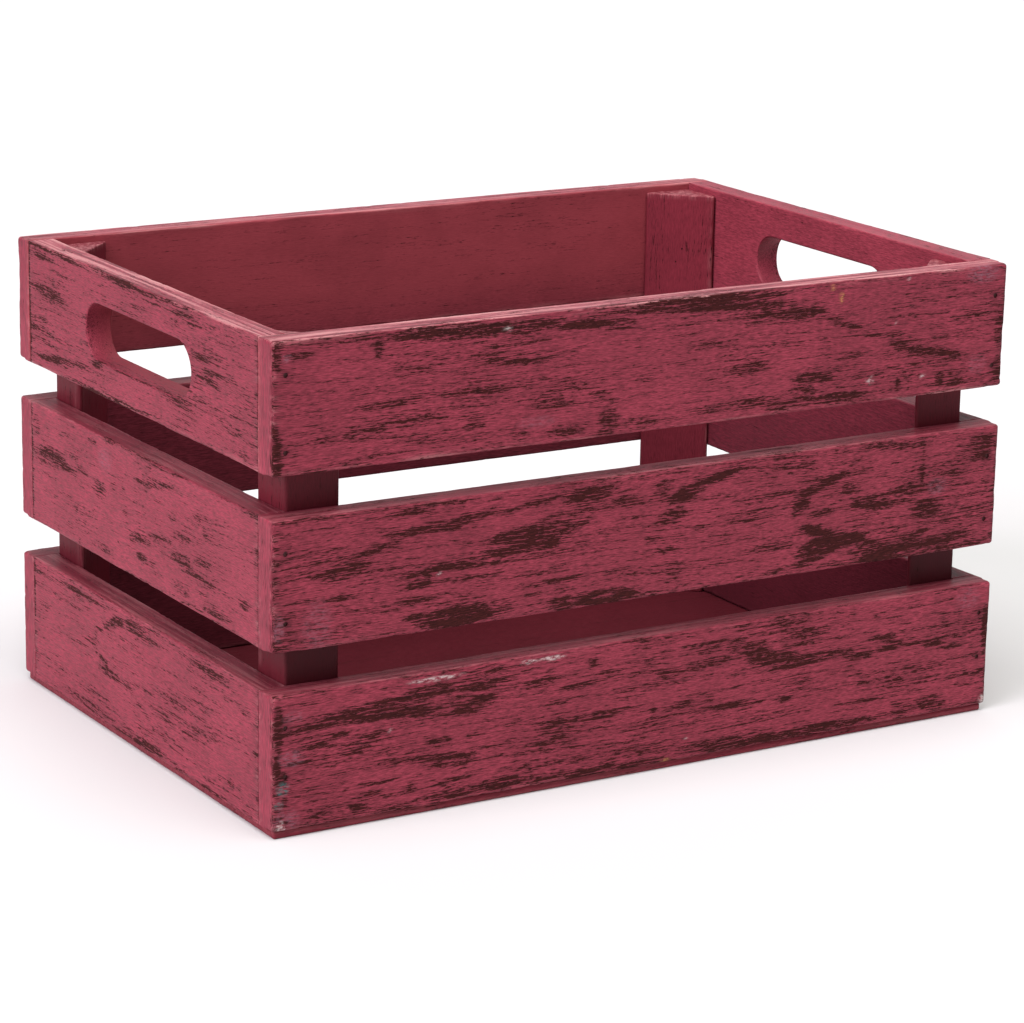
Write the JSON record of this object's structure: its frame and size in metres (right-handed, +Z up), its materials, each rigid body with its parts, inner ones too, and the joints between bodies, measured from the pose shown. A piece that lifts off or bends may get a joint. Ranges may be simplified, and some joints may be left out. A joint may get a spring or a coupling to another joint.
{
  "type": "wooden apple crate",
  "caption": "Open wooden crate with three tiers of spaced boards, triangular corner posts, a thin floor panel and a hand-hold slot in each end.",
  "frame": {"origin": "middle of the underside, on the ground", "axes": "+X along the length, to the right seen from the front; +Y from front to back; +Z up"},
  "size_m": [0.44, 0.3, 0.25],
  "materials": {
    "painted_boards": "raspberry red paint rubbed through to dark wood",
    "painted_posts": "raspberry red paint",
    "painted_panel": "raspberry red paint on thin sheet",
    "nail_steel": "dull steel, painted over where it shows"
  },
  "bodies": {
    "root": {"front_board_bottom": "painted_boards", "back_board_bottom": "painted_boards", "left_end_board_bottom": "painted_boards", "right_end_board_bottom": "painted_boards", "front_board_middle": "painted_boards", "back_board_middle": "painted_boards", "left_end_board_middle": "painted_boards", "right_end_board_middle": "painted_boards", "front_board_top": "painted_boards", "back_board_top": "painted_boards", "left_end_board_top": "painted_boards", "right_end_board_top": "painted_boards", "corner_post_front_left": "painted_posts", "corner_post_front_right": "painted_posts", "corner_post_back_left": "painted_posts", "corner_post_back_right": "painted_posts", "floor_panel": "painted_panel", "front_nails": "nail_steel", "back_nails": "nail_steel", "post_brads": "nail_steel", "floor_brads": "nail_steel"}
  },
  "joints": []
}
